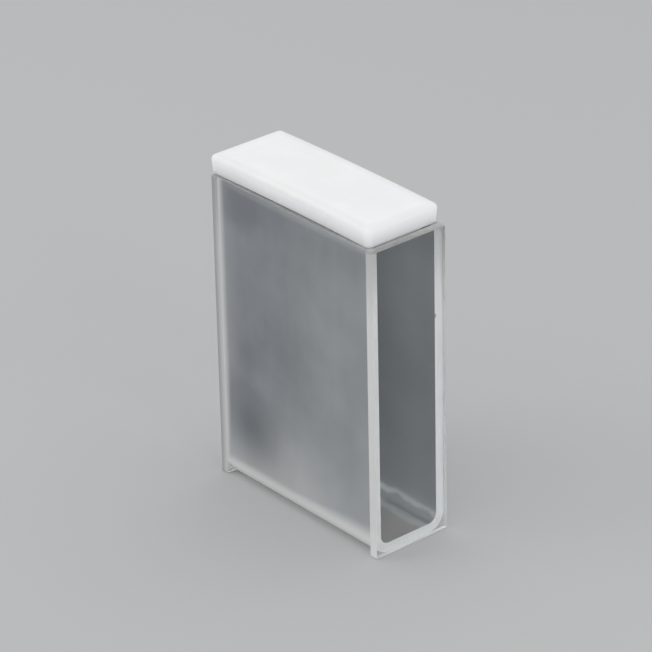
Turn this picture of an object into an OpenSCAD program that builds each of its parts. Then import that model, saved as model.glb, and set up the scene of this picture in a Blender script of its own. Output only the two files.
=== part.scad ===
// Rectangular glass cuvette with a loose white lid.
//
// One strip of ground glass, bent to a U, makes both broad sides and the bottom.
// A clear polished window is fused across each end of it, and the lid rests on the rim.
// Millimetres, +Z up. X is the light path, and the origin is under the middle of the base.

/* [Cell] */
// Clear distance between the two windows
path_length = 30; // [10:1:50]
// Width of the cell across the light path
cell_width = 12.5; // [9:0.5:25]
// Height of the glass from the base to the rim
cell_height = 45; // [20:1:60]

/* [Trough] */
// Thickness of the bent strip
wall = 1.35; // [0.8:0.05:2]
// Outer radius of the bend between each side and the bottom
bend_radius = 2.7; // [2.2:0.1:4]

/* [Windows] */
// Thickness of each end plate
window_thickness = 1.25; // [0.8:0.05:3]
// Radius at the four corners of a window
window_corner_radius = 0.2; // [0.1:0.05:0.8]

/* [Lid] */
// Thickness of the lid above the rim
lid_height = 2.75; // [1.6:0.05:6]
// How far the top of the lid rises from its ends to its middle
lid_bow = 0.2; // [0:0.05:0.4]
// How much shorter the lid is than the glass
lid_end_play = 0.5; // [0:0.05:1.5]
// How much narrower the lid is than the glass
lid_side_play = 0.2; // [0:0.05:1]
// How far the sides of the lid lean in towards its underside
lid_taper = 0.2; // [0:0.05:0.5]
// Radius at the lid's upright corners
lid_corner_radius = 0.8; // [0.7:0.05:2]
// Radius along the lid's top edges
lid_top_radius = 0.6; // [0.1:0.05:0.7]
// Radius along the lid's lower edges, no larger than its corners leave room for
lid_under_radius = 0.3; // [0.2:0.05:0.9]

/* [Plug] */
// Depth of the plug below the rim
plug_depth = 1.1; // [0.5:0.1:5]
// Gap between the plug and each long side of the trough when the lid lies centred
plug_side_clearance = 0.1; // [0.05:0.05:0.5]
// Gap between the plug and each window when the lid lies centred
plug_end_clearance = 0.8; // [0.3:0.05:1.5]
// Radius at the plug's upright corners
plug_corner_radius = 0.4; // [0.2:0.1:1.5]

/* [Hidden] */

$fn = 64;

cell_length = path_length + 2 * window_thickness;
inside_width = cell_width - 2 * wall;

lid_length = cell_length - lid_end_play;
lid_width = cell_width - lid_side_play;
plug_length = path_length - 2 * plug_end_clearance;
plug_width = inside_width - 2 * plug_side_clearance;
under_radius = min(lid_under_radius, lid_corner_radius - lid_taper);

// The lid has slid along the rim until its plug meets the rear window and the far side
lid_shift = [-plug_end_clearance, plug_side_clearance, cell_height];

// Outline centred on the first axis and standing on it, with round lower corners and a square top
module round_bottomed(width, height, radius) {
  for (side = [-1, 1])
    translate([side * (width / 2 - radius), radius])
      circle(radius);
  translate([-width / 2, radius])
    square([width, height - radius]);
  translate([-width / 2 + radius, 0])
    square([width - 2 * radius, radius]);
}

// The same outline with round upper corners as well
module round_cornered(width, height, low_radius, high_radius) {
  round_bottomed(width, height - high_radius, low_radius);
  for (side = [-1, 1])
    translate([side * (width / 2 - high_radius), height - high_radius])
      circle(high_radius);
  translate([-width / 2 + high_radius, height - high_radius])
    square([width - 2 * high_radius, high_radius]);
}

// Lays an outline drawn in the YZ plane along X, centred on the origin
module along_x(length) {
  rotate([90, 0, 90])
    translate([0, 0, -length / 2])
      linear_extrude(length)
        children();
}

// Block with round upright corners, standing on z = 0 and centred over the origin
module round_block(length, width, height, radius) {
  linear_extrude(height)
    translate([0, -width / 2])
      round_cornered(length, width, radius, radius);
}

// The bend has one thickness all round, so its inner radius is the outer one less the wall
module frosted_trough() {
  color([0.66, 0.69, 0.70, 0.8])
    along_x(path_length)
      difference() {
        round_bottomed(cell_width, cell_height, bend_radius);
        translate([0, wall])
          round_bottomed(inside_width, cell_height, bend_radius - wall);
      }
}

// A plate outside the end of the trough, end being 1 at the front and -1 at the rear
module window(end) {
  color([0.84, 0.88, 0.90, 0.45])
    translate([end * (path_length + window_thickness) / 2, 0, 0])
      along_x(window_thickness)
        round_cornered(cell_width, cell_height, window_corner_radius, window_corner_radius);
}

module front_window() {
  window(1);
}

module rear_window() {
  window(-1);
}

// Points of a quarter turn around a centre, from one angle to the next
function quarter(centre, radius, start) =
  [for (angle = [start:15:start + 90]) centre + radius * [cos(angle), sin(angle)]];

// One upright corner of the cover, turned to the same section as its sides
module lid_corner() {
  rotate_extrude($fn = 32)
    polygon(concat(
      [[0, 0]],
      quarter([lid_corner_radius - lid_taper - under_radius, under_radius], under_radius, -90),
      quarter([lid_corner_radius - lid_top_radius, lid_height - lid_top_radius], lid_top_radius, 0),
      [[0, lid_height]]
    ));
}

// The cover is stretched over corners that stand highest halfway along, so its top is bowed
module lid_cover() {
  hull()
    for (along = [-1:0.5:1], across = [-1, 1])
      translate([
        along * (lid_length / 2 - lid_corner_radius),
        across * (lid_width / 2 - lid_corner_radius),
        lid_bow * (1 - along * along)
      ])
        lid_corner();
}

// The plug reaches up into the middle of the cover, with which it is one piece
module lid() {
  color([0.95, 0.95, 0.94])
    translate(lid_shift) {
      lid_cover();
      translate([0, 0, -plug_depth])
        round_block(plug_length, plug_width, plug_depth + lid_height / 2, plug_corner_radius);
    }
}

frosted_trough();
front_window();
rear_window();
lid();
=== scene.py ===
# Rectangular glass cuvette: a bent strip of frosted glass, two clear windows and a loose white lid.
# Metres, +Z up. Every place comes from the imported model, and the pieces below are dressed over it.
import math

import bmesh
import bpy
from mathutils import Matrix, Vector


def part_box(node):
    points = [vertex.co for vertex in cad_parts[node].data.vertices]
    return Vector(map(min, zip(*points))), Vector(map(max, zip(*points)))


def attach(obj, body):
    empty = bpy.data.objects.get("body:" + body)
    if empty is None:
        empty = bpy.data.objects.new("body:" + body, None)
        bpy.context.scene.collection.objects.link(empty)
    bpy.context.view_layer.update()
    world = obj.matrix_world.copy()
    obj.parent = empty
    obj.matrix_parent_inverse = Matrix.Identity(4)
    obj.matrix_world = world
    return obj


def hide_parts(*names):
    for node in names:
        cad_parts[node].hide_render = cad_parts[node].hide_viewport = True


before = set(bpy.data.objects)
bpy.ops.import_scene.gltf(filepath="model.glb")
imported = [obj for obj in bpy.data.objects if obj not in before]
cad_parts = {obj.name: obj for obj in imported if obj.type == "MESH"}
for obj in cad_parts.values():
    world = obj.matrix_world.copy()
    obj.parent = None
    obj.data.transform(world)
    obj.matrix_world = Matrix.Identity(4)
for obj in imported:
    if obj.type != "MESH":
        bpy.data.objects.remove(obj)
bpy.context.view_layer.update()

mm = 0.001
bodyName = "root"  # nothing here has a joint, so it is all one body
troughLow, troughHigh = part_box("frosted_trough")
lidLow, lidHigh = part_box("lid")
rimHeight = troughHigh.z
halfPath = troughHigh.x  # from the middle of the cell to the inside of a window
hair = 0.01 * mm  # nothing on the cell is finer
scene = bpy.context.scene
print("cuvette: packed model loaded")


cameraView = {
    "azimuth": 50.18,  # degrees round from the broad side
    "elevation": 27.30,
    "roll": -1.28,
    "lens": 200.0,
    "distance": 0.4831,
    "nearest": 0.01,
    "aimRight": -0.49 * mm,  # from the middle of the glass
    "aimUp": 3.49 * mm,
}


def makeCamera(view):
    azimuth = math.radians(view["azimuth"])
    elevation = math.radians(view["elevation"])
    roll = math.radians(view["roll"])
    level = Vector((math.cos(azimuth), math.sin(azimuth), 0))
    back = Vector((math.sin(azimuth), -math.cos(azimuth), 0)) * math.cos(elevation)
    back.z = math.sin(elevation)
    steep = back.cross(level)
    right = level * math.cos(roll) + steep * math.sin(roll)
    up = steep * math.cos(roll) - level * math.sin(roll)
    aim = Vector((0, 0, rimHeight / 2)) + right * view["aimRight"] + up * view["aimUp"]
    data = bpy.data.cameras.new("camera")
    data.lens = view["lens"]
    data.clip_start = view["nearest"]
    camera = bpy.data.objects.new("camera", data)
    turn = Matrix((right, up, back)).transposed().to_4x4()
    camera.matrix_world = Matrix.Translation(aim + back * view["distance"]) @ turn
    scene.collection.objects.link(camera)
    scene.camera = camera


studio = {
    "floorColour": (0.51, 0.515, 0.52),
    "floorRoughness": 0.9,
    "floorShine": 0.1,
    "floorSize": 6.0,
    "floorDrop": 0.02 * mm,  # keeps the floor's plane clear of the glass that stands on it
    "ambient": 0.75,
    "softboxes": {  # place, width, watts
        "topBox": ((-0.10, 0.05, 0.75), 0.55, 0.30),
        "leftBox": ((-0.45, -0.60, 0.35), 0.45, 1.5),
        "rightBox": ((0.75, -0.05, 0.40), 0.45, 1.6),
    },
}


def makeStudio(settings):
    for name, (place, width, watts) in settings["softboxes"].items():
        data = bpy.data.lights.new(name, "AREA")
        data.size = width
        data.energy = watts
        lamp = bpy.data.objects.new(name, data)
        lamp.location = place
        aim = Vector((0, 0, rimHeight / 2)) - Vector(place)
        lamp.rotation_euler = aim.to_track_quat("-Z", "Y").to_euler()
        scene.collection.objects.link(lamp)

    half, drop = settings["floorSize"] / 2, settings["floorDrop"]
    corners = [(-half, -half, -drop), (half, -half, -drop), (half, half, -drop), (-half, half, -drop)]
    mesh = bpy.data.meshes.new("floor")
    mesh.from_pydata(corners, [], [(0, 1, 2, 3)])
    floor = bpy.data.objects.new("floor", mesh)
    scene.collection.objects.link(floor)
    material = bpy.data.materials.new("paleFloor")
    material.use_nodes = True
    shader = material.node_tree.nodes["Principled BSDF"]
    shader.inputs["Base Color"].default_value = (*settings["floorColour"], 1)
    shader.inputs["Roughness"].default_value = settings["floorRoughness"]
    shader.inputs["Specular IOR Level"].default_value = settings["floorShine"]
    mesh.materials.append(material)

    world = bpy.data.worlds.new("evenLight")
    world.use_nodes = True
    background = world.node_tree.nodes["Background"]
    background.inputs["Color"].default_value = (1, 1, 1, 1)
    background.inputs["Strength"].default_value = settings["ambient"]
    scene.world = world
    scene.view_settings.view_transform = "Standard"


makeCamera(cameraView)
makeStudio(studio)
print("cuvette: camera and studio set")


noiseSpan = (0.3, 0.7)  # nearly all of a noise lies between these


class Finish:  # a material with its nodes, and short ways to add to them
    def __init__(self, name, **values):
        self.material = bpy.data.materials.new(name)
        self.material.use_nodes = True
        self.nodes = self.material.node_tree.nodes
        self.links = self.material.node_tree.links
        self.shader = self.nodes["Principled BSDF"]
        for socket, value in values.items():
            self.shader.inputs[socket.replace("_", " ")].default_value = value
        self.place = self.node("TexCoord").outputs["Object"]
        split = self.node("SeparateXYZ")
        self.links.new(self.place, split.inputs["Vector"])
        self.x, self.y, self.z = split.outputs

    def connect(self, source, socket):
        self.links.new(source, self.shader.inputs[socket])

    def noise(self, size, detail=3, stretch=(1, 1, 1)):  # its grain is about size metres across
        mapping = self.node("Mapping")
        mapping.inputs["Scale"].default_value = [1 / (size * s) for s in stretch]
        noise = self.node("TexNoise")
        noise.inputs["Scale"].default_value = 1
        noise.inputs["Detail"].default_value = detail
        self.links.new(self.place, mapping.inputs["Vector"])
        self.links.new(mapping.outputs["Vector"], noise.inputs["Vector"])
        return noise.outputs["Fac"]

    def spots(self, size, detail=3, stretch=(1, 1, 1), amount=1.0):  # noise spread from 0 to the amount
        return self.ramp(self.noise(size, detail, stretch), *noiseSpan, 0, amount)

    def math(self, operation, first, second=0.0):
        node = self.node("Math")
        node.operation = operation
        for socket, value in zip(node.inputs, (first, second)):
            if isinstance(value, (int, float)):
                socket.default_value = value
            else:
                self.links.new(value, socket)
        return node.outputs["Value"]

    def ramp(self, source, start, end, low=0.0, high=1.0, smooth=True):
        span = self.node("MapRange")
        span.interpolation_type = "SMOOTHSTEP" if smooth else "LINEAR"
        for socket, value in (("From Min", start), ("From Max", end), ("To Min", low), ("To Max", high)):
            span.inputs[socket].default_value = value
        self.links.new(source, span.inputs["Value"])
        return span.outputs["Result"]

    def node(self, kind):
        return self.nodes.new("ShaderNode" + kind)

    def band(self, source, centre, reach):  # 1 at the centre and 0 beyond its reach
        off = self.math("ABSOLUTE", self.math("SUBTRACT", source, centre))
        return self.ramp(off, reach, 0)

    def blend(self, factor, first, second):  # each colour is three numbers or another blend
        mix = self.node("Mix")
        mix.data_type = "RGBA"
        for socket, colour in ((mix.inputs[6], first), (mix.inputs[7], second)):
            if isinstance(colour, tuple):
                socket.default_value = (*colour, 1)
            else:
                self.links.new(colour, socket)
        self.links.new(factor, mix.inputs[0])
        return mix.outputs[2]

    def scaled(self, colour, amount):
        node = self.node("VectorMath")
        node.operation = "SCALE"
        self.links.new(colour, node.inputs[0])
        self.links.new(amount, node.inputs["Scale"])
        return node.outputs["Vector"]

    def bump(self, height, distance, strength):
        node = self.node("Bump")
        node.inputs["Strength"].default_value = strength
        node.inputs["Distance"].default_value = distance
        self.links.new(height, node.inputs["Height"])
        self.connect(node.outputs["Normal"], "Normal")

    def letLampsThrough(self, tint):  # glass stops no lamp, so what is behind it is lit
        path = self.node("LightPath")
        clear = self.node("BsdfTransparent")
        clear.inputs["Color"].default_value = (*tint, 1)
        mix = self.node("MixShader")
        self.links.new(path.outputs["Is Shadow Ray"], mix.inputs[0])
        self.links.new(self.shader.outputs["BSDF"], mix.inputs[1])
        self.links.new(clear.outputs["BSDF"], mix.inputs[2])
        self.links.new(mix.outputs["Shader"], self.nodes["Material Output"].inputs["Surface"])


glassIndex = 1.47

frosting = {
    "dark": (0.25, 0.273, 0.30),  # painted shade, towards the rear
    "light": (0.60, 0.63, 0.65),  # painted light, towards the front
    "forward": (-10 * mm, 12 * mm, 0.65),  # where the one turns into the other, and its share of the tone
    "clouds": (9 * mm, 0.28),  # size and share
    "drawn": (3 * mm, 9, 0.07),  # size, stretch and share of faint lines along its height
    "topShade": (38 * mm, 43 * mm, 0.25),  # between these heights it darkens by this share
    "patchPlace": (-9.5 * mm, 10 * mm),  # a patch of painted shade, darker, low at the rear
    "patchReach": (8 * mm, 8 * mm),
    "patchStrength": (0.58, 0.9),  # how much it takes from the tone, and from the glow
    "patchShade": 0.76,  # and the share of the colour that is left
    "insideShade": 0.62,  # how much of its colour shows from inside the glass
    "bottomShade": (3.2 * mm, 0.2 * mm, 1.4),  # between these heights that rises, towards the bottom
    "pale": (0.84, 0.84, 0.83),  # painted glow, where light leaks out of the rear seam and the bends
    "seam": (1.85 * mm, 0.82),  # reach and strength of the painted glow at the rear seam
    "halo": (4 * mm, 0.17),  # the same for a faint glow beside the seam
    "lowGlow": (20 * mm, 3 * mm, 0.48),  # the heights where it starts and is full, and its strength
    "lowForward": (0, 12 * mm, 0.15),  # between these places it fades to this share
    "bendGlow": (5.2 * mm, 1.8 * mm, 0.95),
    "rimGlow": (44.0 * mm, 44.7 * mm, 0.2),
    "glowSides": (3.4 * mm, 5 * mm),  # the glow grows from the underside out to the sides
    "roughness": 0.5,
    "grain": (0.15 * mm, 0.01 * mm, 0.4),  # size, depth and strength of the ground surface
    "transmission": (0.55, 0.15),  # plain, and where it is pale
    "shadowTint": (0.62, 0.63, 0.63),
}


def makeFrostedGlass(settings):
    finish = Finish("frostedGlass", IOR=glassIndex, Roughness=settings["roughness"])
    # darker to the rear and lighter to the front, as painted shade and painted light
    start, end, share = settings["forward"]
    body = finish.ramp(finish.x, start, end, 0, share)
    size, share = settings["clouds"]
    body = finish.math("ADD", body, finish.spots(size, amount=share))
    size, stretch, share = settings["drawn"]
    body = finish.math("ADD", body, finish.spots(size, detail=2, stretch=(1, 1, stretch), amount=share))
    start, end, strength = settings["topShade"]
    body = finish.math("SUBTRACT", body, finish.ramp(finish.z, start, end, 0, strength))
    # a patch of painted shade low at the rear, which also dims the painted glow
    along = finish.band(finish.x, settings["patchPlace"][0], settings["patchReach"][0])
    upright = finish.band(finish.z, settings["patchPlace"][1], settings["patchReach"][1])
    patch = finish.math("MULTIPLY", along, upright)
    darker, weaker = settings["patchStrength"]
    body = finish.math("SUBTRACT", body, finish.math("MULTIPLY", patch, darker))
    tone = finish.blend(body, settings["dark"], settings["light"])
    tone = finish.scaled(tone, finish.ramp(patch, 0, 1, 1, settings["patchShade"], smooth=False))
    outside = finish.math("SUBTRACT", 1, finish.node("NewGeometry").outputs["Backfacing"])
    start, end, bottom = settings["bottomShade"]
    shade = finish.ramp(finish.z, start, end, settings["insideShade"], bottom)
    tone = finish.scaled(tone, finish.math("MAXIMUM", outside, shade))

    # painted glow low down, beside the rear seam, along the bends and under the rim
    start, end, strength = settings["lowGlow"]
    glow = finish.ramp(finish.z, start, end, 0, strength)
    start, end, share = settings["lowForward"]
    glow = finish.math("MULTIPLY", glow, finish.ramp(finish.x, start, end, 1, share))
    reach, strength = settings["halo"]
    glow = finish.math("MAXIMUM", glow, finish.ramp(finish.x, reach - halfPath, -halfPath, 0, strength))
    glow = finish.math("MULTIPLY", glow, finish.ramp(patch, 0, 1, 1, 1 - weaker, smooth=False))
    for start, end, strength in (settings["bendGlow"], settings["rimGlow"]):
        glow = finish.math("MAXIMUM", finish.ramp(finish.z, start, end, 0, strength), glow)
    beside = finish.ramp(finish.math("ABSOLUTE", finish.y), *settings["glowSides"])
    glow = finish.math("MULTIPLY", glow, finish.math("MULTIPLY", beside, outside))
    reach, strength = settings["seam"]
    glow = finish.math("MAXIMUM", glow, finish.ramp(finish.x, reach - halfPath, -halfPath, 0, strength))
    finish.connect(finish.blend(glow, tone, settings["pale"]), "Base Color")
    clearness = finish.ramp(glow, 0, 1, *settings["transmission"], smooth=False)
    finish.connect(clearness, "Transmission Weight")
    size, depth, strength = settings["grain"]
    finish.bump(finish.noise(size, detail=2), depth, strength)
    finish.letLampsThrough(settings["shadowTint"])
    return finish.material


innerFace = {
    "rear": (0.27, 0.288, 0.333),
    "front": (0.56, 0.59, 0.63),
    "forward": (0, 13 * mm),  # where the one turns into the other, as painted shade to the rear and painted light to the front
    "middleShade": (23 * mm, 15 * mm, 0.75),  # height and reach of a darker zone, and its share of the tone
    # painted light on the cell's floor, and painted shade in its far bend
    "floor": (0.66, 0.575, 0.51),
    "floorHeight": (3.0 * mm, 2.0 * mm),  # where the wall turns into the floor
    "bend": (0.30, 0.29, 0.285),
    "bendReach": (3.0 * mm, 3.6 * mm),  # from the middle, where the floor turns into the far bend
    "bendHighlight": (0.98, 0.975, 0.96),  # painted highlights: light along the far bend, just above it and just inside it
    "wallReach": (4.2 * mm, 4.7 * mm),  # from the middle to the far wall
    "wallHighlight": (2.75 * mm, 0.65 * mm),  # height and reach
    "floorHighlight": (2.2 * mm, 1.3 * mm),  # place across the cell, and reach
    "wobble": (5 * mm, 0.7 * mm),  # size of the painted highlights' waves, and how far they swing
    "roughness": 0.1,
    "shadowTint": (0.9, 0.91, 0.92),
}


def makeInnerGlass(settings):
    finish = Finish("innerGlass", Transmission_Weight=1.0, IOR=glassIndex, Roughness=settings["roughness"])
    # painted shade towards the rear, painted light towards the front
    forward = finish.ramp(finish.x, *settings["forward"])
    tone = finish.blend(forward, settings["rear"], settings["front"])
    middle, reach, share = settings["middleShade"]
    darkZone = finish.band(finish.z, middle, reach)
    tone = finish.scaled(tone, finish.ramp(darkZone, 0, 1, 1, share, smooth=False))
    # the floor painted lighter and the far bend darker, as light and shade
    low = finish.ramp(finish.z, *settings["floorHeight"])
    tone = finish.blend(low, tone, settings["floor"])
    onBend = finish.math("MULTIPLY", low, finish.ramp(finish.y, *settings["bendReach"]))
    tone = finish.blend(onBend, tone, settings["bend"])
    # painted highlights along the far bend, waving a little
    size, swing = settings["wobble"]
    wobble = finish.spots(size, detail=2, amount=swing)
    across = finish.math("SUBTRACT", finish.y, wobble)
    onFloor = finish.math("MULTIPLY", low, finish.band(across, *settings["floorHighlight"]))
    farWall = finish.ramp(finish.y, *settings["wallReach"])
    upright = finish.math("ADD", finish.z, wobble)
    onWall = finish.math("MULTIPLY", farWall, finish.band(upright, *settings["wallHighlight"]))
    tone = finish.blend(finish.math("MAXIMUM", onFloor, onWall), tone, settings["bendHighlight"])
    finish.connect(tone, "Base Color")
    finish.letLampsThrough(settings["shadowTint"])
    return finish.material


edgeGlass = {
    # painted shade on the rear edges, painted glow on the front ones
    "rear": (0.63, 0.635, 0.635),
    "front": (0.81, 0.815, 0.815),
    "fusedFront": (0.94, 0.94, 0.945),  # the trough's end, which shines through the clear window as a painted glow
    "rearSide": (0.385, 0.39, 0.395),  # the rear window's edge, away from the seam, in painted shade
    "rearReach": 1.25 * mm,
    "topShade": (34 * mm, 44.5 * mm, 0.75),  # between these heights it darkens to this share
    "lowShade": (2.6 * mm, 1.0 * mm, 0.89),  # the same down the trough's end
    "inside": 1.2,  # how much brighter a window's edge is from inside the glass, as painted light
    "grain": (0.5 * mm, 8, 0.15),  # size, stretch along its height, and strength
    "roughness": 0.35,
    "transmission": (0.15, 0.35),  # from outside, and from inside the glass
    "nickPlace": (4.95 * mm, 32.1 * mm),  # a tiny dark nick where the far side meets the front window
    "nickReach": (0.36 * mm, 0.55 * mm),
    "nickEdge": (0.2, 0.6),  # how softly it starts
    "nickColour": (0.36, 0.37, 0.38),
    "fusedTint": (0.8, 0.8, 0.8),  # of the lamps' light through the trough's end
}


def makeEdgeGlass(name, settings, fused):
    finish = Finish(name, IOR=glassIndex, Roughness=settings["roughness"])
    size, stretch, strength = settings["grain"]
    grain = finish.spots(size, stretch=(1, 1, stretch), amount=strength)
    # painted shade towards the rear, painted glow towards the front
    forward = finish.ramp(finish.x, -halfPath, halfPath)
    front = settings["fusedFront"] if fused else settings["front"]
    tone = finish.blend(finish.math("SUBTRACT", forward, grain), settings["rear"], front)
    inside = finish.node("NewGeometry").outputs["Backfacing"]
    start, end, share = settings["topShade"]
    shade = finish.ramp(finish.z, start, end, 1, share)
    if fused:
        start, end, share = settings["lowShade"]
        shade = finish.math("MULTIPLY", shade, finish.ramp(finish.z, start, end, 1, share))
    else:
        shade = finish.math("MAXIMUM", shade, inside)
    tone = finish.scaled(tone, shade)
    away = finish.ramp(finish.x, -halfPath, -halfPath - settings["rearReach"])
    tone = finish.blend(away, tone, settings["rearSide"])
    clearness = finish.ramp(inside, 0, 1, *settings["transmission"], smooth=False)
    finish.connect(clearness, "Transmission Weight")
    if fused:
        across = finish.band(finish.y, settings["nickPlace"][0], settings["nickReach"][0])
        upright = finish.band(finish.z, settings["nickPlace"][1], settings["nickReach"][1])
        atFront = finish.math("GREATER_THAN", finish.x, 0)
        nick = finish.math("MULTIPLY", finish.math("MULTIPLY", across, upright), atFront)
        tone = finish.blend(finish.ramp(nick, *settings["nickEdge"]), tone, settings["nickColour"])
        finish.letLampsThrough(settings["fusedTint"])
    else:
        # painted light on a window's edge seen from inside the glass
        tone = finish.scaled(tone, finish.ramp(inside, 0, 1, 1, settings["inside"], smooth=False))
    finish.connect(tone, "Base Color")
    return finish.material


rimFinish = {
    "low": (0.54, 0.54, 0.53),
    "high": (0.66, 0.66, 0.65),
    "grain": 0.8 * mm,
    "paintedLightByLid": 1.35,  # painted light: how much brighter it is beside the lid
    "sideReach": (6.2 * mm, 5.85 * mm),  # from the middle, where that starts and is full
    "endReach": (16.1 * mm, 15.2 * mm),
    "roughness": 0.4,
    "transmission": 0.5,
}


def makeRimGlass(settings):
    finish = Finish(
        "rimGlass", Transmission_Weight=settings["transmission"], IOR=glassIndex,
        Roughness=settings["roughness"])
    tone = finish.blend(finish.spots(settings["grain"], detail=4), settings["low"], settings["high"])
    fromSide = finish.ramp(finish.math("ABSOLUTE", finish.y), *settings["sideReach"])
    fromEnd = finish.ramp(finish.math("ABSOLUTE", finish.x), *settings["endReach"])
    # painted light beside the lid
    paintedLightByLid = finish.math("MULTIPLY", fromSide, fromEnd)
    brighter = finish.ramp(paintedLightByLid, 0, 1, 1, settings["paintedLightByLid"], smooth=False)
    finish.connect(finish.scaled(tone, brighter), "Base Color")
    return finish.material


windowFinish = {
    "colour": (0.97, 0.985, 0.98),
    "roughness": 0.01,
    "shadowTint": (0.94, 0.95, 0.95),
}


def makeClearGlass(settings):
    finish = Finish("clearGlass", Transmission_Weight=1.0, IOR=glassIndex, Roughness=settings["roughness"])
    finish.shader.inputs["Base Color"].default_value = (*settings["colour"], 1)
    finish.letLampsThrough(settings["shadowTint"])
    return finish.material


lidFinish = {
    "dull": (0.85, 0.865, 0.875),
    "bright": (0.875, 0.89, 0.90),
    "cloud": 5 * mm,
    "lowShade": (2.2 * mm, 0.3 * mm, 0.9),  # between these heights above the rim it darkens to this share
    "edgeShade": 0.91,  # the same along its top edges
    "edgeReach": (1.7 * mm, 0.3 * mm),  # in from its sides, where that starts and is full
    "edgeHeight": (2.1 * mm, 2.6 * mm),  # above the rim
    "roughness": 0.6,
    "specular": 0.25,
    "index": 1.35,
    "lightReach": 2 * mm,  # how far light travels under the surface
    "reachByColour": (1, 0.9, 0.8),
    "grain": (0.8 * mm, 0.01 * mm, 0.3),  # size, depth and strength
}


def makePtfe(settings):
    finish = Finish(
        "whitePtfe", Roughness=settings["roughness"], IOR=settings["index"], Subsurface_Weight=1.0,
        Subsurface_Scale=settings["lightReach"], Specular_IOR_Level=settings["specular"],
        Subsurface_Radius=settings["reachByColour"])
    white = finish.blend(finish.spots(settings["cloud"]), settings["dull"], settings["bright"])
    start, end, share = settings["lowShade"]
    white = finish.scaled(white, finish.ramp(finish.z, rimHeight + start, rimHeight + end, 1, share))
    start, end = settings["edgeReach"]
    edges = []
    for place, low, high in ((finish.x, lidLow.x, lidHigh.x), (finish.y, lidLow.y, lidHigh.y)):
        away = finish.math("ABSOLUTE", finish.math("SUBTRACT", place, (low + high) / 2))
        half = (high - low) / 2
        edges.append(finish.ramp(away, half - start, half - end))
    start, end = settings["edgeHeight"]
    high = finish.ramp(finish.z, rimHeight + start, rimHeight + end)
    edge = finish.math("MULTIPLY", finish.math("MAXIMUM", *edges), high)
    white = finish.scaled(white, finish.ramp(edge, 0, 1, 1, settings["edgeShade"], smooth=False))
    finish.connect(white, "Base Color")
    size, depth, strength = settings["grain"]
    finish.bump(finish.noise(size), depth, strength)
    return finish.material


frostedGlass = makeFrostedGlass(frosting)
innerGlass = makeInnerGlass(innerFace)
groundEdge = makeEdgeGlass("groundEdge", edgeGlass, fused=False)
fusedEnd = makeEdgeGlass("fusedEnd", edgeGlass, fused=True)
rimGlass = makeRimGlass(rimFinish)
clearGlass = makeClearGlass(windowFinish)
whitePtfe = makePtfe(lidFinish)
print("cuvette: finishes made")


sharpAngle = math.radians(40)  # edges that turn more than this stay sharp


def finishPiece(piece, replaced):
    mesh = piece.data
    mesh.shade_smooth()
    mesh.set_sharp_from_angle(angle=sharpAngle)
    modifier = piece.modifiers.new("flatFaces", "WEIGHTED_NORMAL")  # large faces stay optically flat
    modifier.keep_sharp = True
    graph = bpy.context.evaluated_depsgraph_get()
    piece.data = bpy.data.meshes.new_from_object(piece.evaluated_get(graph), depsgraph=graph)
    piece.data.name = piece.name
    piece.modifiers.remove(modifier)
    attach(piece, bodyName)
    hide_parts(replaced)


class Tree:  # a Geometry Nodes tree, and short ways to add to it
    def __init__(self, name, sizes):
        self.group = bpy.data.node_groups.new(name, "GeometryNodeTree")
        self.group.interface.new_socket("Geometry", in_out="OUTPUT", socket_type="NodeSocketGeometry")
        self.sizes = sizes
        for label, value in sizes.items():
            kind = "NodeSocketInt" if isinstance(value, int) else "NodeSocketFloat"
            self.group.interface.new_socket(label, in_out="INPUT", socket_type=kind)
        self.input = self.group.nodes.new("NodeGroupInput").outputs
        self.output = self.group.nodes.new("NodeGroupOutput").inputs

    def add(self, kind, *sources, **settings):  # sources go to the node's inputs in order, None skips one
        node = self.group.nodes.new("GeometryNode" + kind if not kind.startswith("ShaderNode") else kind)
        for name, value in settings.items():
            setattr(node, name, value)
        sockets = [s for s in node.inputs if s.enabled]
        for socket, source in zip(sockets, sources):
            if isinstance(source, bpy.types.NodeSocket):
                self.group.links.new(source, socket)
            elif source is not None:
                socket.default_value = source
        return next(s for s in node.outputs if s.enabled)

    def math(self, operation, first, second=0.0):
        return self.add("ShaderNodeMath", first, second, operation=operation)

    def vector(self, x, y, z):
        return self.add("ShaderNodeCombineXYZ", x, y, z)

    def axis(self, vector, letter):
        node = self.group.nodes.new("ShaderNodeSeparateXYZ")
        self.group.links.new(vector, node.inputs["Vector"])
        return node.outputs[letter]

    def build(self, name):  # runs the tree and keeps its result as a plain mesh
        piece = bpy.data.objects.new(name, bpy.data.meshes.new(name + "Start"))
        scene.collection.objects.link(piece)
        modifier = piece.modifiers.new("build", "NODES")
        modifier.node_group = self.group
        for item in self.group.interface.items_tree:
            if item.in_out == "INPUT":
                modifier[item.identifier] = self.sizes[item.name]
        graph = bpy.context.evaluated_depsgraph_get()
        mesh = bpy.data.meshes.new_from_object(piece.evaluated_get(graph), depsgraph=graph)
        piece.modifiers.remove(modifier)
        piece.data = mesh
        mesh.name = name
        return piece


trough = {
    "wall": 1.35 * mm,
    "bendRadius": 2.7 * mm,  # outside of the bend
    "bendSteps": 17,
    "seam": hair,  # between each end of the strip and its window
    "endFacing": 0.9,  # how squarely an end looks along the cell
    "rimShare": 0.99,  # what lies above this share of its height is the rim
    "rimBevel": 0.10 * mm,
    "rimSteps": 3,
}


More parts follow.
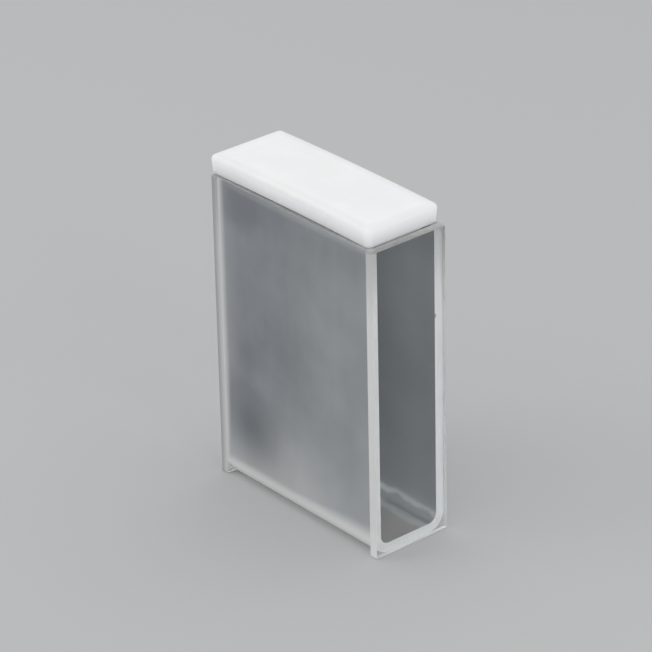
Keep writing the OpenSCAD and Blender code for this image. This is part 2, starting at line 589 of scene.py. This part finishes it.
def makeTrough(settings):
    tree = Tree("bentStrip", {
        "Length": 2 * (halfPath - settings["seam"]),
        "Width": troughHigh.y - troughLow.y,
        "Height": rimHeight,
        "Wall": settings["wall"],
        "Bend Radius": settings["bendRadius"],
        "Bend Steps": settings["bendSteps"],
        "End Facing": settings["endFacing"],
        "Rim Share": settings["rimShare"],
    })
    sizes = tree.input
    halfWall = tree.math("DIVIDE", sizes["Wall"], 2)
    reach = tree.math("SUBTRACT", tree.math("DIVIDE", sizes["Width"], 2), halfWall)
    # four points along the middle of the strip, down one side and up the other
    index = tree.add("InputIndex")
    side = tree.math("SUBTRACT", tree.math("MULTIPLY", tree.math("GREATER_THAN", index, 1.5), 2), 1)
    atTop = tree.math("GREATER_THAN", tree.math("ABSOLUTE", tree.math("SUBTRACT", index, 1.5)), 1)
    rise = tree.math("MULTIPLY", atTop, tree.math("SUBTRACT", sizes["Height"], halfWall))
    place = tree.vector(0, tree.math("MULTIPLY", side, reach), tree.math("ADD", rise, halfWall))
    points = tree.add("SetPosition", tree.add("MeshLine", 4), None, place)
    bend = tree.math("SUBTRACT", sizes["Bend Radius"], halfWall)
    path = tree.add("FilletCurve", tree.add("MeshToCurve", points), sizes["Bend Steps"], bend, mode="POLY")
    section = tree.add("CurvePrimitiveQuadrilateral", sizes["Length"], sizes["Wall"], mode="RECTANGLE")
    strip = tree.add("CurveToMesh", path, section, None, True)
    # a face of the inside looks towards the middle of the cell
    normal = tree.add("InputNormal")
    middle = tree.vector(0, 0, tree.math("DIVIDE", sizes["Height"], 2))
    outward = tree.add("ShaderNodeVectorMath", tree.add("InputPosition"), middle, operation="SUBTRACT")
    outward = tree.add("ShaderNodeVectorMath", outward, (0, 1, 1), operation="MULTIPLY")
    facing = tree.add("ShaderNodeVectorMath", outward, normal, operation="DOT_PRODUCT")
    isInner = tree.math("LESS_THAN", facing, 0)
    isEnd = tree.math("GREATER_THAN", tree.math("ABSOLUTE", tree.axis(normal, "X")), sizes["End Facing"])
    atRim = tree.math("MULTIPLY", sizes["Height"], sizes["Rim Share"])
    isRim = tree.math("GREATER_THAN", tree.axis(tree.add("InputPosition"), "Z"), atRim)
    shape = tree.add("RealizeInstances", strip)
    shape = tree.add("SetMaterial", shape, None, frostedGlass)
    shape = tree.add("SetMaterial", shape, isInner, innerGlass)
    shape = tree.add("SetMaterial", shape, isEnd, fusedEnd)
    shape = tree.add("SetMaterial", shape, isRim, rimGlass)
    tree.group.links.new(shape, tree.output[0])
    piece = tree.build("frostedTrough")

    shell = bmesh.new()
    shell.from_mesh(piece.data)
    rim = [  # the long edges at the top
        e for e in shell.edges
        if all(v.co.z > rimHeight - hair for v in e.verts)
        and abs(e.verts[0].co.x - e.verts[1].co.x) > mm
    ]
    bmesh.ops.bevel(
        shell, geom=rim, offset=settings["rimBevel"], segments=settings["rimSteps"], profile=0.5,
        affect="EDGES")
    shell.to_mesh(piece.data)
    shell.free()
    finishPiece(piece, "frosted_trough")


makeTrough(trough)
print("cuvette: trough bent")


def roundedLoop(low, high, radius, inset, steps):  # a rectangle with round corners, drawn in by inset
    turn = max(radius - inset, 2 * hair)  # a corner never shrinks to a point
    gap = inset + turn
    loop = []
    for start, (across, up) in enumerate(((1, 1), (0, 1), (0, 0), (1, 0))):
        centreAcross = high[0] - gap if across else low[0] + gap
        centreUp = high[1] - gap if up else low[1] + gap
        for step in range(steps + 1):
            angle = math.pi / 2 * (start + step / steps)
            loop.append((centreAcross + turn * math.cos(angle), centreUp + turn * math.sin(angle)))
    return loop


def stackLoops(rings):  # closed shell through rings of as many points each
    shell = bmesh.new()
    rows = [[shell.verts.new(point) for point in ring] for ring in rings]
    count = len(rows[0])
    for near, far in zip(rows, rows[1:]):
        for i in range(count):
            j = (i + 1) % count
            shell.faces.new((near[i], near[j], far[j], far[i]))
    shell.faces.new(rows[0])
    shell.faces.new(rows[-1])
    bmesh.ops.recalc_face_normals(shell, faces=shell.faces)
    return shell


def quarterSteps(radius, steps):  # pairs of run and rise round a quarter turn, from flat to upright
    for step in range(steps + 1):
        angle = math.pi / 2 * step / steps
        yield radius * (1 - math.sin(angle)), radius * (1 - math.cos(angle))


def makePiece(name, shell, materials):
    mesh = bpy.data.meshes.new(name)
    shell.to_mesh(mesh)
    shell.free()
    for material in materials:
        mesh.materials.append(material)
    piece = bpy.data.objects.new(name, mesh)
    scene.collection.objects.link(piece)
    return piece


windowPlate = {
    "cornerRadius": 0.2 * mm,
    "cornerSteps": 5,
    "outerRound": 0.1 * mm,  # round of the edges away from the cell
    "innerRound": 0.05 * mm,  # round of the edges against the trough
    "roundSteps": 4,
    "flat": 0.98,  # how squarely a polished face looks along the cell
    "upward": 0.15,  # how much a face of the rim looks up
}


def makeWindow(name, node, end, settings):
    low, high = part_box(node)
    outer, inner = (high.x, low.x) if end > 0 else (low.x, high.x)
    rings = []
    for face, away, radius in ((inner, end, settings["innerRound"]), (outer, -end, settings["outerRound"])):
        steps = list(quarterSteps(radius, settings["roundSteps"]))
        for run, rise in steps if face == inner else reversed(steps):
            loop = roundedLoop(
                (low.y, low.z), (high.y, high.z), settings["cornerRadius"], run, settings["cornerSteps"])
            rings.append([(face + away * rise, y, z) for y, z in loop])
    shell = stackLoops(rings)
    for face in shell.faces:  # polished where it faces along the cell, the rim's finish on top, else ground
        if abs(face.normal.x) > settings["flat"]:
            face.material_index = 0
        elif face.normal.z > settings["upward"] and face.calc_center_median().z > rimHeight / 2:
            face.material_index = 2
        else:
            face.material_index = 1
    piece = makePiece(name, shell, (clearGlass, groundEdge, rimGlass))
    finishPiece(piece, node)


makeWindow("frontWindow", "front_window", 1, windowPlate)
makeWindow("rearWindow", "rear_window", -1, windowPlate)
print("cuvette: windows set")


lidCover = {
    "cornerRadius": 0.8 * mm,
    "topRadius": 0.6 * mm,
    "underRadius": 0.3 * mm,
    "taper": 0.2 * mm,  # how far the sides lean in towards the underside
    "bow": 0.2 * mm,  # how far the middle stands above the ends
    "bowSteps": 24,
    "cornerSteps": 8,
    "edgeSteps": 6,
    "plugDepth": 1.1 * mm,
    "plugAway": (1.8 * mm, 1.35 * mm),  # from the cover's sides in to the plug's
    "plugRadius": 0.4 * mm,
    "plugEdge": 0.12 * mm,
    "plugSteps": 3,
}


def makeLid(settings):
    steps = settings["cornerSteps"]
    low, high = (lidLow.x, lidLow.y), (lidHigh.x, lidHigh.y)
    thickness = lidHigh.z - rimHeight - settings["bow"]
    awayX, awayY = settings["plugAway"]
    plugLow, plugHigh = (low[0] + awayX, low[1] + awayY), (high[0] - awayX, high[1] - awayY)
    rings = []

    def addRing(corners, radius, inset, height):
        loop = roundedLoop(*corners, radius, inset, steps)
        rings.append([(x, y, rimHeight + height) for x, y in loop])

    plug, cover = (plugLow, plugHigh), (low, high)
    for run, rise in quarterSteps(settings["plugEdge"], settings["plugSteps"]):
        addRing(plug, settings["plugRadius"], run, rise - settings["plugDepth"])
    addRing(plug, settings["plugRadius"], 0, 0)
    for run, rise in quarterSteps(settings["underRadius"], settings["edgeSteps"]):
        addRing(cover, settings["cornerRadius"], settings["taper"] + run, rise)
    for run, rise in reversed(list(quarterSteps(settings["topRadius"], settings["edgeSteps"]))):
        addRing(cover, settings["cornerRadius"], run, thickness - rise)
    shell = stackLoops(rings)
    halfLength = (high[0] - low[0]) / 2
    centre = low[0] + halfLength
    for step in range(1, settings["bowSteps"]):
        cut = low[0] + 2 * halfLength * step / settings["bowSteps"]
        everything = shell.verts[:] + shell.edges[:] + shell.faces[:]
        bmesh.ops.bisect_plane(shell, geom=everything, plane_co=(cut, 0, 0), plane_no=(1, 0, 0))
    for vert in shell.verts:
        vert.co.z += settings["bow"] * (1 - ((vert.co.x - centre) / halfLength) ** 2)
    bmesh.ops.recalc_face_normals(shell, faces=shell.faces)
    piece = makePiece("lidCover", shell, (whitePtfe,))
    finishPiece(piece, "lid")


makeLid(lidCover)
print("cuvette: lid laid on")

print("cuvette: dressed")
